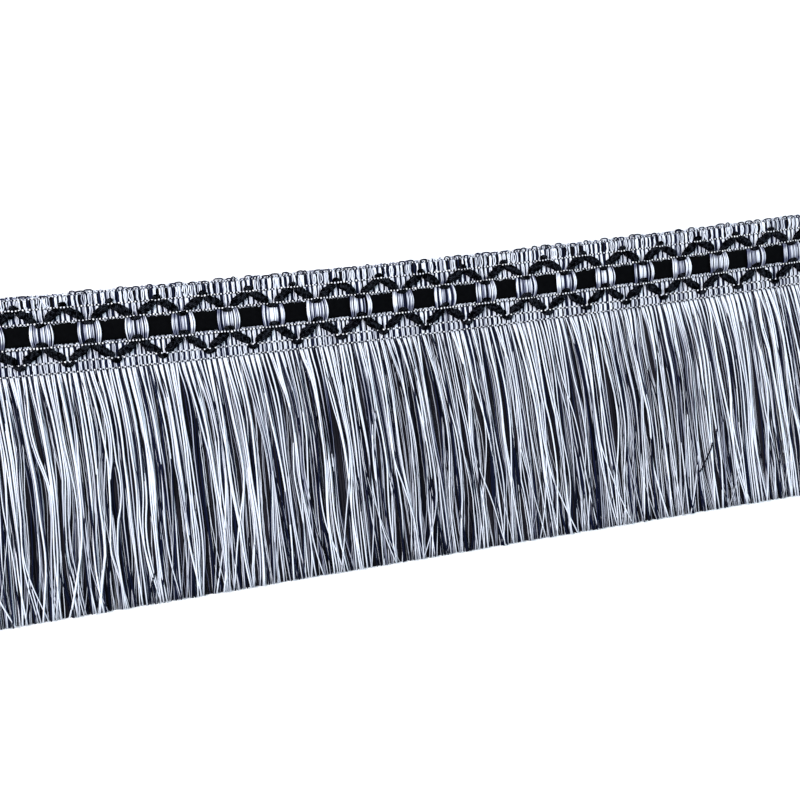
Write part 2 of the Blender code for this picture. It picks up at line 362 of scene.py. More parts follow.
view = {
    "place": (-105.73, 20.53, 425.5),  # mm, measured as the trim is laid
    "tilt": (-10.0, -12.14, -7.47),  # degrees, turned about Z, then Y, then X
    "lens": 50.0,
    "sensor": 36.0,
    "floorSize": 6000.0,
    "floorDrop": 0.05,  # below the trim
    "floorColour": "#fcfcfc",
    "roomColour": "#e4f0ff",
    "roomStrength": 0.36,
}
deselectAll()
cameraPlace = np.add(view["place"], (shiftX, shiftY, 0)) * mm
bpy.ops.object.camera_add(location=cameraPlace.tolist())
camera = bpy.context.object
camera.rotation_mode = "ZYX"
camera.rotation_euler = [math.radians(a) for a in view["tilt"]]
camera.data.lens = view["lens"]
camera.data.sensor_width = view["sensor"]
bpy.context.scene.camera = camera

bpy.ops.mesh.primitive_plane_add(size=view["floorSize"] * mm, location=(0, 0, -view["floorDrop"] * mm))
floor = bpy.context.object
floor.name = "floor"
# matt painted board: it spreads the light evenly and mirrors nothing
floorPaint, _, floorShader = startMaterial("paleMattBoard", {"Roughness": 0.9})
floorShader.inputs["Base Color"].default_value = toLinear(view["floorColour"])
floor.data.materials.append(floorPaint)
floor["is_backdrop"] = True

lights = (
    # name, place in mm, size in mm, watts, colour
    ("keyLight", (-800, 400, 900), 500, 17.2, "#fffafc"),
    ("fillLight", (800, 250, 800), 900, 9.2, "#e6f8ff"),
)
for name, place, size, watts, colour in lights:
    bpy.ops.object.light_add(type="AREA", location=[p * mm for p in place])
    lamp = bpy.context.object
    lamp.name = name
    lamp.data.size = size * mm
    lamp.data.energy = watts
    lamp.data.color = toLinear(colour)[:3]
    aim = -lamp.location
    lamp.rotation_euler = aim.to_track_quat("-Z", "Y").to_euler()
world = bpy.data.worlds.new("softRoom")
world.use_nodes = True
backdrop = world.node_tree.nodes["Background"]
backdrop.inputs["Color"].default_value = toLinear(view["roomColour"])
backdrop.inputs["Strength"].default_value = view["roomStrength"]
bpy.context.scene.world = world
bpy.context.scene.view_settings.view_transform = "Standard"
print("camera, floor and light ready")


sheetStep = 2.5  # mm between a sheet's cross lines


def laidSheet(name, topV, bottomV, z, thick, acrossCuts, material):
    # a grid laid along the heading by moving its points, then given its thickness
    alongCuts = int(trimLength / sheetStep)
    deselectAll()
    bpy.ops.mesh.primitive_grid_add(x_subdivisions=alongCuts, y_subdivisions=acrossCuts, size=2)
    sheet = bpy.context.object
    sheet.name = name
    for vertex in sheet.data.vertices:
        s = leftEnd + (vertex.co.x + 1) / 2 * trimLength
        v = bottomV + (vertex.co.y + 1) / 2 * (topV - bottomV)
        vertex.co = onTrim(s, v, z(s, v))
    thickness = sheet.modifiers.new("thickness", "SOLIDIFY")
    thickness.thickness = thick * mm
    thickness.offset = 0
    bpy.ops.object.modifier_apply(modifier=thickness.name)
    sheet.data.shade_smooth()
    sheet.data.materials.append(material)
    return sheet


ground = {"top": 0.9, "bottom": 28.9, "height": 0.35, "thick": 0.4, "acrossCuts": 12}
groundCloth = laidSheet("groundCloth", ground["top"], ground["bottom"], lambda s, v: ground["height"],
                        ground["thick"], ground["acrossCuts"], groundBlack)

ribbonSize = {"width": 7.6, "height": 1.75, "thick": 0.35, "sink": 0.25, "acrossCuts": 6}


def ribbonHeight(s, v):
    # pressed down under the bars, a little proud in the squares
    return ribbonSize["height"] + ribbonSize["sink"] * (math.cos(2 * math.pi * s / repeat) - 1) / 2


ribbon = laidSheet("flatRibbon", ribbonMiddle - ribbonSize["width"] / 2, ribbonMiddle + ribbonSize["width"] / 2,
                   ribbonHeight, ribbonSize["thick"], ribbonSize["acrossCuts"], ribbonBlack)
print("ground cloth and ribbon laid")


# The wefts: white and black bundles by turns, laid across the heading and out into the fringe
weft = {
    "bundles": 187,
    "whiteCounts": (2, 3, 3, 3),
    "blackCounts": (2, 2, 2, 3),
    "whiteStep": 0.45,  # between the yarns of a bundle
    "blackStep": 0.44,
    "whiteHalf": (0.24, 0.24),  # half width and half height of a yarn
    "blackHalf": (0.25, 0.22),
    "sides": 4,
    "low": 0.80,  # z of a yarn's middle at a stitch row
    "puff": 0.38,  # how much higher between rows
    "squeeze": 0.70,  # a bundle's width at a stitch row, as a share
    "uneven": 0.45,  # how far bundles spread or close, more above the upper cord
    "evenShare": 0.25,  # how much of that is left below the upper part
    "drift": 0.40,
    "thinWhite": 0.16,  # how much narrower below the last cord
    "thinBlack": -0.10,
    "jitter": (0.07, 0.05),  # of single points, along the trim and up
    "upperPart": (4.0, 3.0),  # v where the looser upper part begins to end, and over how far
    "blackSink": 0.08,
    "tone": (0.45, 1.60),  # darkest and lightest white yarn
    "leastTone": 0.28,  # a shaded white yarn stays at least this light
    "edgeShade": 0.75,
    "pinches": (1.0, 1.0, 1.0, 1.0, 0.45, 0.3),  # how hard each row of stitches draws the wefts in
    "pinchReach": 0.8,
    # v of the points along each weft
    "stations": (0.5, 0.9, 1.7, 2.8, 4.0, 5.0, 5.6, 6.3, 7.4, 8.8, 10.0, 10.85, 11.4, 12.5, 13.8, 15.1, 16.4,
                 17.7, 18.8, 19.85, 20.3, 21.6, 23.2, 24.6, 25.65, 26.4, 27.6, 28.5, 29.3, 29.8),
}
rowPlaces = np.array(list(rows.values()))
chance = np.random.default_rng(11)
whiteCounts = chance.choice(weft["whiteCounts"], weft["bundles"])
blackCounts = chance.choice(weft["blackCounts"], weft["bundles"])
widths = np.stack([whiteCounts * weft["whiteStep"], blackCounts * weft["blackStep"]], axis=1).reshape(-1)
widths *= trimLength / widths.sum()
middles = (leftEnd + np.cumsum(widths) - widths / 2).reshape(-1, 2)
whiteMiddles, blackMiddles = middles.T

# Bars: the white wefts that pass over the ribbon, bowed outwards like a pair of brackets
bar = {
    "half": 4.10,
    "endHalf": 3.6,  # at the stitch rows
    "rightBow": 0.35,  # the right side bows more
    "top": 2.80,  # z over the ribbon
    "yarnPitch": 0.62,
    "bundleGap": 0.30,
    "fuller": 0.06,  # how much wider a yarn is over the ribbon
    "fadeOut": 2.5,  # how far past the stitch rows the wefts lie evenly again
    "inner": 0.55,  # share of a bar that counts as its inner part
    "dim": 0.5,  # how much darker its inner yarns can be
    "paintedEndShade": 0.80,  # how much darker all are at their ends: painted shade where they dip to the stitches
    "upperEndShade": (0.75, 2.2),  # where that painted shade begins to end below the upper row, and over how far
    "lowerEndShade": (4.05, 2.4),  # where it begins above the lower row, and over how far
    "stripeGap": (0.9, 1.1),  # how wide the white yarns part for a black pair, and how far out
    "stripeHalf": 0.2,  # from a black pair's middle to each of its wefts
    "blackSink": 0.10,
    # where black wefts rise over the ribbon too, as s
    "blackStripes": (-144.2, -129.2, -110.6, -94.7, -91.3, -90.9, -78.7, -62.2, -57.0, -25.4, -24.0, -22.8,
                     -7.8, -7.3, 6.0, 9.4, 11.6, 26.0, 39.3, 45.0, 58.8, 61.8, 74.6, 77.0, 90.9, 94.5, 95.8,
                     111.5, 146.3, 159.0),
}


def rowPinch(v):
    # highest at a stitch row, 0 halfway between rows
    return (weft["pinches"] * np.exp(-((v[..., None] - rowPlaces) / weft["pinchReach"]) ** 2)).max(axis=-1)


def overRibbon(v):
    # 0 at the stitch rows beside the ribbon and outside them, 1 over its middle
    inside = (v - rows["upperFoot"]) / (rows["lowerTop"] - rows["upperFoot"])
    return np.sin(math.pi * np.clip(inside, 0, 1))


def nearBar(v):
    # 1 between the two stitch rows beside the ribbon, fading out past them
    outside = np.maximum(rows["upperFoot"] - v, v - rows["lowerTop"])
    return 1 - smoothStep(outside / bar["fadeOut"])


def paintedShadeAtBarEnds(v):
    # painted shade, 1 at a bar's two ends and 0 along its middle; the lower end's shade reaches over a longer way
    upperFrom, upperOver = bar["upperEndShade"]
    lowerFrom, lowerOver = bar["lowerEndShade"]
    upper = 1 - smoothStep((v - rows["upperFoot"] - upperFrom) / upperOver)
    lower = smoothStep((v - rows["lowerTop"] + lowerFrom) / lowerOver)
    return (upper + lower) * nearBar(v)


def layWefts(bundleMiddles, counts, step, half, seed, white):
    # every yarn as rows of s, v, z, half width, half height and how much darker it is, painted shade at a bar's
    # ends included
    chance = np.random.default_rng(seed)
    own = np.concatenate([np.arange(c) - (c - 1) / 2 for c in counts]) * step
    start = np.repeat(bundleMiddles, counts)
    bundle = np.repeat(np.arange(len(counts)), counts)
    v = np.broadcast_to(weft["stations"], (len(start), len(weft["stations"])))
    pinch = rowPinch(v)
    endsFrom, endsOver = weft["upperPart"]
    upperPart = 1 - smoothStep((v - endsFrom) / endsOver)
    looseness = (weft["evenShare"] + upperPart) * (1 - pinch)
    openness = 1 + weft["uneven"] * chance.normal(size=(len(counts), 1))[bundle] * looseness
    drift = weft["drift"] * chance.normal(size=(len(counts), 1))[bundle] * upperPart
    s = start[:, None] + drift + own[:, None] * openness * (weft["squeeze"] * pinch + 1 - pinch)
    s = s + weft["jitter"][0] * chance.normal(size=s.shape) * (1 - pinch)
    z = weft["low"] + weft["puff"] * (1 - pinch) + weft["jitter"][1] * chance.normal(size=s.shape)
    wide = half[0] * (1 - weft["thinWhite" if white else "thinBlack"] * smoothStep(v - rows["lowerFoot"]))
    high = np.full(s.shape, half[1])

    # the yarns that go over the ribbon, bar by bar
    across = start + own
    dim = np.zeros(s.shape)
    barNumbers = np.arange(-math.ceil(lay["repeatsLeft"]), math.ceil(lay["repeatsRight"]) + 1)
    for middle in (barNumbers + 0.5) * repeat:
        stripes = [x - middle for x in bar["blackStripes"] if abs(x - middle) < repeat / 2]
        if white:
            over = np.where(np.abs(across - middle) < bar["half"])[0]
        else:
            nearest = [np.argsort(np.abs(across - middle - stripe))[:2] for stripe in stripes]
            over = np.unique(np.array(nearest, int))
        if not len(over):
            continue
        if white:
            newBundle = np.diff(bundle[over], prepend=bundle[over[0]])
            wanted = np.cumsum(newBundle * bar["bundleGap"] + bar["yarnPitch"])
            # a bar at the trim's end is cut through, so its yarns stay inside
            first = max(-bar["half"], leftEnd - middle) + bar["yarnPitch"] / 2
            last = min(bar["half"], rightEnd - middle) - bar["yarnPitch"] / 2
            wanted = first + (wanted - wanted[0]) * (last - first) / (wanted[-1] - wanted[0])
            for stripe in stripes:
                wanted = pushApart(wanted, stripe, *bar["stripeGap"])
            inner = np.abs(wanted) < bar["half"] * bar["inner"]
            dim[over] = chance.uniform(0, bar["dim"]) * (inner[:, None] * overRibbon(v[over]))
            # painted shade where the bar's yarns dip to the stitch rows
            dim[over] += bar["paintedEndShade"] * paintedShadeAtBarEnds(v[over])
        else:
            pairs = [[x - bar["stripeHalf"], x + bar["stripeHalf"]] for x in stripes]
            wanted = np.sort(np.concatenate(pairs))[:len(over)]
        overNow = overRibbon(v[over])
        bow = bar["endHalf"] / bar["half"] + (1 - bar["endHalf"] / bar["half"]) * overNow
        toRight = (wanted[:, None] / bar["half"]).clip(0) ** 3
        target = middle + wanted[:, None] * bow + bar["rightBow"] * toRight * overNow
        share = nearBar(v[over])
        s[over] = s[over] * (1 - share) + target * share
        raised = overNow ** 0.5
        z[over] = z[over] * (1 - raised) + (bar["top"] - (0.0 if white else bar["blackSink"])) * raised
        wide[over] += raised * bar["fuller"]
    return s, v, z, wide, high, dim


s, v, z, wide, high, dim = layWefts(whiteMiddles, whiteCounts, weft["whiteStep"], weft["whiteHalf"],
                                    seed=21, white=True)
tone = np.random.default_rng(23).uniform(*weft["tone"], (len(s), 1)) - dim
whiteWeft = yarnPiece("whiteWeft", onTrim(s, v, z), wide, high, weft["sides"], whiteYarn, seed=22,
                      tone=tone.clip(weft["leastTone"]), edgeShade=weft["edgeShade"])
whiteRoots = s[:, -1]
s, v, z, wide, high, _ = layWefts(blackMiddles, blackCounts, weft["blackStep"], weft["blackHalf"],
                                  seed=31, white=False)
blackWeft = yarnPiece("blackWeft", onTrim(s, v, z - weft["blackSink"]), wide, high, weft["sides"], blackYarn,
                      seed=32)
blackRoots = s[:, -1]
print("wefts laid")


# Picots: the loops where the yarns turn at the upper edge
picot = {
    "turnSteps": 9,
    "sides": 5,
    "leftDrop": 0.9,  # the upper edge is worn lower at the far left
    "leftFrom": (-125, 20),  # s where that begins, and over how far
    "sizes": (0.28, 0.5, 1.5),  # spread, least and most of a loop's width
    "lean": 0.3,
    "arch": 0.12,  # how much higher a loop stands halfway
    "uneven": 0.1,
    # half width, v of the top, v of the legs, how uneven the tops are, z
    "white": (0.50, 0.35, 1.5, 0.3, 0.95),
    "black": (1.15, -0.05, 1.4, 0.4, 1.25),
    "whiteThick": (0.22, 0.21),  # half width and half height of the yarn
    "blackThick": (0.26, 0.24),
    "whitePlaces": (-0.2, 0.45),  # two loops on each white bundle, from its middle
    "blackStray": 0.8,
    "blackShare": 0.9,  # how many of the black loops still stand
    "blackWorn": (0.4, -105, 15),  # how many fewer at the left, s where that begins, and over how far
    "endRoom": 1.8,  # black loops stay this far inside the trim's ends
    "tone": (0.1, 1.05),
    "edgeShade": 0.7,
}


def picotDrop(s):
    begins, over = picot["leftFrom"]
    return picot["leftDrop"] * smoothStep((begins - s) / over)


def picotLoops(centres, shape, seed):
    half, top, legs, uneven, z = shape
    spread, least, most = picot["sizes"]
    chance = np.random.default_rng(seed)
    turn = np.linspace(0, math.pi, picot["turnSteps"])
    # a loop's points from leg to leg, in half widths and as shares of its height
    sideways = np.concatenate([[-0.8, -0.95], -np.cos(turn), [0.95, 0.8]])
    height = np.concatenate([[0.0, 0.5], 0.62 + 0.38 * np.sin(turn) ** 0.7, [0.5, 0.0]])
    half = half * (1 + spread * chance.normal(size=len(centres))).clip(least, most)
    top = top + uneven * chance.uniform(-1, 1, len(centres)) + picotDrop(centres)
    lean = picot["lean"] * chance.normal(size=len(centres))[:, None]
    s = centres[:, None] + half[:, None] * sideways + lean * height
    v = legs + (top - legs)[:, None] * height
    lift = picot["arch"] * np.sin(math.pi * height) + picot["uneven"] * chance.normal(size=(len(centres), 1))
    return onTrim(s, v, z + lift)


whiteCentres = np.concatenate([whiteMiddles + place for place in picot["whitePlaces"]])
whitePicots = yarnPiece("whitePicots", picotLoops(whiteCentres, picot["white"], seed=41), *picot["whiteThick"],
                        picot["sides"], whiteYarn, seed=42,
                        tone=np.random.default_rng(45).uniform(*picot["tone"], len(whiteCentres)),
                        edgeShade=picot["edgeShade"])
chance = np.random.default_rng(46)
blackCentres = blackMiddles[::2] + picot["blackStray"] * chance.normal(size=len(blackMiddles[::2]))
blackCentres = blackCentres.clip(leftEnd + picot["endRoom"], rightEnd - picot["endRoom"])
fewer, begins, over = picot["blackWorn"]
standing = picot["blackShare"] - fewer * smoothStep((begins - blackCentres) / over)
blackCentres = blackCentres[chance.uniform(size=len(blackCentres)) < standing]
blackPicots = yarnPiece("blackPicots", picotLoops(blackCentres, picot["black"], seed=43), *picot["blackThick"],
                        picot["sides"], blackYarn, seed=44)
print("picots made")


# Gimp cords. Each zigzags between two stitch rows and turns in a small loop outside each row.
gimp = {
    # a half repeat of each: from the bar's middle, from the ribbon's middle, half thickness, z
    "upper": (
        (0.00, 3.50, 0.92, 2.50),
        (1.20, 3.56, 0.86, 2.40),
        (2.00, 4.00, 0.45, 1.75),
        (1.95, 4.60, 0.80, 1.40),
        (2.30, 5.35, 1.22, 1.80),
        (3.25, 6.15, 1.52, 2.10),
        (4.40, 6.90, 1.66, 2.15),
        (5.55, 7.60, 1.62, 2.15),
        (6.60, 8.15, 1.40, 2.05),
        (7.45, 8.50, 1.05, 1.75),
        (7.85, 9.30, 0.50, 1.35),
        (7.45, 10.00, 0.60, 1.40),
        (7.62, 10.60, 0.76, 1.70),
        (8.465, 10.80, 0.88, 1.85),
    ),
    "lower": (
        (0.00, 3.30, 0.88, 2.50),
        (1.20, 3.38, 0.82, 2.40),
        (1.90, 3.90, 0.45, 1.75),
        (1.35, 4.60, 0.60, 1.40),
        (1.10, 5.40, 0.85, 1.75),
        (1.90, 6.15, 1.34, 2.05),
        (2.90, 6.80, 1.60, 2.15),
        (4.00, 7.45, 1.68, 2.15),
        (5.10, 8.15, 1.60, 2.10),
        (6.20, 8.80, 1.38, 1.95),
        (7.00, 9.45, 0.95, 1.60),
        (6.85, 10.40, 0.60, 1.35),
        (6.95, 11.15, 0.86, 1.70),
        (8.465, 11.60, 1.10, 1.85),
    ),
    "finer": 3,
    "sides": 10,
    "flatness": 0.68,  # half height as a share of half thickness
    "uneven": (0.20, 0.12, 0.08, 0.03),  # of the four columns above
    "lumps": (0.06, 0.6),  # how much thicker and thinner in places, and their spacing
}


def gimpCord(name, table, side, seed):
    route = []
    chance = np.random.default_rng(seed)
    table = np.array(table)
    for i in range(round(2 * trimLength / repeat)):
        half = table + chance.normal(size=table.shape) * gimp["uneven"]
        half[[0, -1]] = table[[0, -1]]
        if i % 2:
            half = half[::-1].copy()
            half[:, 0] = repeat / 2 - half[:, 0]
        half[:, 0] += leftEnd + i * repeat / 2
        route += half[:-1].tolist()
    route.append([rightEnd, *table[0, 1:]])
    places = np.arange((len(route) - 1) * gimp["finer"] + 1) / gimp["finer"]
    s, away, half, z = curveThrough(np.array(route).T, places)
    swell, spacing = gimp["lumps"]
    half = half * (1 + swell * softNoise(places, spacing, seed + 1))
    paths = onTrim(s, ribbonMiddle + side * away, z)
    return yarnPiece(name, paths[None], half[None], (half * gimp["flatness"])[None], gimp["sides"], gimpYarn,
                     seed + 2)


upperGimp = gimpCord("upperGimp", gimp["upper"], -1, 51)
lowerGimp = gimpCord("lowerGimp", gimp["lower"], 1, 55)
print("gimp cords laid")


# Chain stitch: white stitches, and dark beads between them and on the white bundles: the dark thread showing there,
# and painted shade in the gaps and holes
stitch = {
    "pitch": 1.21,
    "white": (0.38, 0.35, 0.26),  # half length, half width, half height
    "dark": (0.32, 0.40, 0.30),
    "low": 1.42,  # z of the rows on the even band
    "sink": 0.06,  # how much lower the outermost rows lie
    "overTurn": (0.70, 2.4),  # how much higher over a cord's turn, and how far out
    "besideBar": 0.50,  # how much higher beside the ribbon
    "overBar": (0.50, 3.0),
    "uneven": (0.06, 0.12),  # of a stitch's place in mm, and of its turn and size
    "darkLift": 0.1,  # keeps the dark beads, with their painted shade of the stitch holes, showing over a white bundle
    # sizes of a row's white stitches and dark beads, where they differ from the others
    "scales": {"picots": (0.7, 0.7), "upperFoot": (1.06, 1.12), "lowerTop": (1.08, 1.12),
               "lowerFoot": (0.95, 1.1), "root": (0.84, 1.12)},
    # rows with a stitch on each black bundle and a hole on each white one
    "bundled": ("lowerFoot", "root"),
}


def stitchShape(half, segments, rings):
    # one stitch, as a small long bead
    deselectAll()
    bpy.ops.mesh.primitive_uv_sphere_add(segments=segments, ring_count=rings, radius=1)
    shape = bpy.context.object
    bpy.ops.transform.resize(value=[h * mm for h in half])
    bpy.ops.object.transform_apply(location=False, rotation=False, scale=True)
    return shape


def stitchHeight(row, s):
    # over the cords' pinched places the thread stands higher
    fromSquare = np.abs((s / repeat + 0.5) % 1 - 0.5) * repeat
    fromBar = repeat / 2 - fromSquare
    if row in ("upperTop", "lowerFoot"):
        rise, reach = stitch["overTurn"]
        return stitch["low"] + rise * np.exp(-(fromSquare / reach) ** 4)
    if row in ("upperFoot", "lowerTop"):
        rise, reach = stitch["overBar"]
        return stitch["low"] + stitch["besideBar"] + rise * np.exp(-(fromBar / reach) ** 4)
    return np.full(len(s), stitch["low"] - stitch["sink"])


def stitchRow(row, s, scale, lift, seed):
    moved, turned = stitch["uneven"]
    chance = np.random.default_rng(seed)
    s = s + moved * chance.normal(size=len(s))
    v = rows[row] + moved * chance.normal(size=len(s)) + (picotDrop(s) if row == "picots" else 0)
    if row == "root":
        v = v + lowerEdge(s) - lay["headingWidth"]
    turn = np.arctan(edgeSlope(s)) + turned * chance.normal(size=len(s))
    return onTrim(s, v, stitchHeight(row, s) + lift), turn, scale * (1 + turned * chance.normal(size=len(s)))


evenStitches = leftEnd + (np.arange(int(trimLength / stitch["pitch"])) + 0.5) * stitch["pitch"]
white, dark = [], []
for i, row in enumerate(rows):
    whiteScale, darkScale = stitch["scales"].get(row, (1.0, 1.0))
    if row in stitch["bundled"]:
        whiteS, darkS = blackMiddles, whiteMiddles
    else:
        whiteS, darkS = evenStitches, evenStitches + stitch["pitch"] / 2
    white.append(stitchRow(row, whiteS, whiteScale, 0.0, seed=61 + i))
    dark.append(stitchRow(row, darkS, darkScale, stitch["darkLift"], seed=71 + i))
chainStitches = scatteredPiece("chainStitches", stitchShape(stitch["white"], 6, 4),
                               *(np.concatenate(x) for x in zip(*white)), stitchThread, seed=62)
darkStitchesAndHoleShade = scatteredPiece("darkStitchesAndHoleShade", stitchShape(stitch["dark"], 6, 3),
                               *(np.concatenate(x) for x in zip(*dark)), darkThreadAndHoleShade, seed=63)

# small loops of the woven edges, along the open stretches of ribbon
edgeLoop = {
    "radius": 0.38,
    "thick": 0.15,
    "sizes": (0.65, 1.05),
    "pitch": 1.15,
    "half": 3.9,  # from a square's middle to its outermost loops
    "height": 1.80,
    "uneven": (0.15, 0.10),  # along and across the trim
    "rows": (11.2, 19.5),
}
perSquare = round(2 * edgeLoop["half"] / edgeLoop["pitch"])
squares = np.arange(-math.floor(lay["repeatsLeft"]), math.floor(lay["repeatsRight"]) + 1) * repeat
loopS = (squares[:, None] + (np.arange(perSquare) - (perSquare - 1) / 2) * edgeLoop["pitch"]).reshape(-1)
loopV = np.repeat(edgeLoop["rows"], len(loopS))
loopS = np.tile(loopS, len(edgeLoop["rows"]))
chance = np.random.default_rng(81)
loopS = loopS + edgeLoop["uneven"][0] * chance.normal(size=len(loopS))
loopV = loopV + edgeLoop["uneven"][1] * chance.normal(size=len(loopV))
deselectAll()
bpy.ops.mesh.primitive_torus_add(major_segments=8, minor_segments=4, major_radius=edgeLoop["radius"] * mm,
                                 minor_radius=edgeLoop["thick"] * mm, generate_uvs=True)
edgeLoops = scatteredPiece("edgeLoops", bpy.context.object, onTrim(loopS, loopV, edgeLoop["height"]),
                           chance.uniform(0, math.pi, len(loopS)), chance.uniform(*edgeLoop["sizes"], len(loopS)),
                           whiteYarn, seed=82)
print("chain stitches and edge loops made")


# The fringe: the wefts' ends below the last row of stitches, over deeper layers
fringe = {
    "leanAtRoot": 8.3,  # degrees from straight down, towards the right
    "leanAtTip": 1.5,
    "leanSpread": 4.5,  # more at the right, less at the left
    "leanEase": 0.55,
    "spread": (0.4, 0.25),  # how far the bundles open into an even sheet, and by where down the fringe
    "lockSpacing": 7.0,
    "lockSway": (0, 0.52, 0.65, 0.78, 1.04),  # mm at even places down the fringe
    "bundleSway": (0, 0.8, 1.2, 1.5, 2.2),
    "yarnSway": (0, 0.4, 0.5, 0.7, 1.0),
    "follow": (0.7, 0.71),  # how much each place sways with the one above it, and by itself
    "crimps": (9, 14),  # ripples down a yarn
    "weaves": 1.7,  # how often a yarn rises and sinks on its way down
    "strayReach": 9.0,
    "strayFrom": (0.1, 0.7),  # where down the fringe a stray sets off
    "cutUneven": 0.08,
    "heights": (0.18, 2.4),  # lowest and highest z of a yarn's middle
    "sizes": (0.7, 1.3),  # of single yarns
    "middle": (25, 130),  # s of its fuller part's middle, and how far that reaches
    "depthShare": 0.4,  # how much of a yarn's tone is painted shade from how deep it lies
    # where the front yarns part: s at the top and at the bottom, v of both ends, width in mm
    "partings": (
        (-158, -158, 60, 82, 1.8), (-153, -150, 36, 66, 1.8), (-144, -143, 68, 108, 2.6),
        (-132, -132, 100, 130, 3.6), (-125, -126, 64, 86, 2.4), (-116, -115, 80, 110, 2.0),
        (-103, -103, 68, 90, 1.5), (-96, -95, 33, 62, 1.6), (-92, -90, 40, 140, 4.2), (-77, -77, 100, 125, 1.8),
        (-71, -70, 55, 100, 2.4), (-58, -58, 40, 78, 2.0), (-52, -51, 102, 135, 3.0), (-49, -49, 33, 62, 2.2),
        (-40, -39, 42, 125, 3.4), (-19, -19, 82, 125, 2.8), (-14, -11, 30, 102, 4.6), (0, 1, 40, 84, 2.4),
        (11, 11, 98, 125, 2.2), (18, 20, 52, 100, 2.8), (23, 26, 42, 70, 2.2), (34, 35, 94, 135, 3.2),
        (48, 49, 64, 104, 2.4), (61, 64, 55, 120, 2.6), (76, 77, 38, 98, 2.6), (92, 97, 32, 64, 3.0),
        (91, 92, 66, 94, 2.4), (102, 103, 50, 104, 2.2), (105, 113, 36, 62, 2.4), (111, 111, 86, 125, 2.2),
        (123, 131, 36, 80, 3.4), (133, 133, 86, 122, 2.2), (149, 149, 86, 130, 2.8), (147, 148, 34, 54, 1.8),
    ),
    "partingReach": 3.2,
    # where the white yarns lie over the black ones: s at the top and at the bottom, v of both ends,
    # reach in mm, and strength, which is below 0 where they lie under them
    "gathers": (
        (-112, -113, 30, 112, 5, 1.0), (-146, -144, 44, 78, 6, 0.8), (-82, -76, 55, 120, 5, 1.0),
        (38, 42, 28, 104, 7, 1.0), (62, 62, 26, 46, 8, 0.8), (-31, -33, 26, 50, 5, 0.7), (7, 5, 80, 118, 5, 0.6),
        (130, 131, 26, 40, 7, 0.9), (88, 88, 94, 120, 4, 0.6), (-101, -99, 28, 56, 5, -0.8),
        (108, 113, 38, 80, 6, -0.6), (141, 138, 40, 78, 5, -0.6), (-42, -42, 40, 74, 5, -1.2),
        (79, 82, 56, 90, 5, -0.4), (18, 19, 76, 100, 4, -0.5), (16, 16, 24, 46, 5, 1.0),
        (-106, -104, 40, 68, 5, 0.7), (70, 72, 26, 60, 7, 0.5), (-4, -3, 44, 66, 4, 0.7), (4, 5, 24, 38, 4, -0.8),
        (115, 117, 34, 52, 5, -0.8), (96, 98, 34, 58, 4, -0.5), (146, 146, 26, 52, 5, -0.8),
        (45, 46, 24, 48, 5, 0.6), (-65, -64, 28, 46, 6, -0.5),
    ),
    "gatherLift": 0.4,  # mm the white yarns rise, and the black ones sink
    "gatherTone": 0.3,
    "strayTone": 0.3,
    "rootTone": 1.25,
}


def meanPath(roots, t):
    # how far the yarns have moved right at each t from root to cut, before any sway
    eased = smoothStep(t / fringe["leanEase"])
    lean = fringe["leanAtRoot"] + (fringe["leanAtTip"] - fringe["leanAtRoot"]) * eased
    slope = np.tan(np.radians(lean + fringe["leanSpread"] * roots[:, None] / lay["bendSpan"]))
    drop = lay["cutDepth"] - lay["headingWidth"]
    steps = (slope[:, 1:] + slope[:, :-1]) / 2 * np.diff(t) * drop
    return np.concatenate([np.zeros((len(roots), 1)), np.cumsum(steps, axis=1)], axis=1)


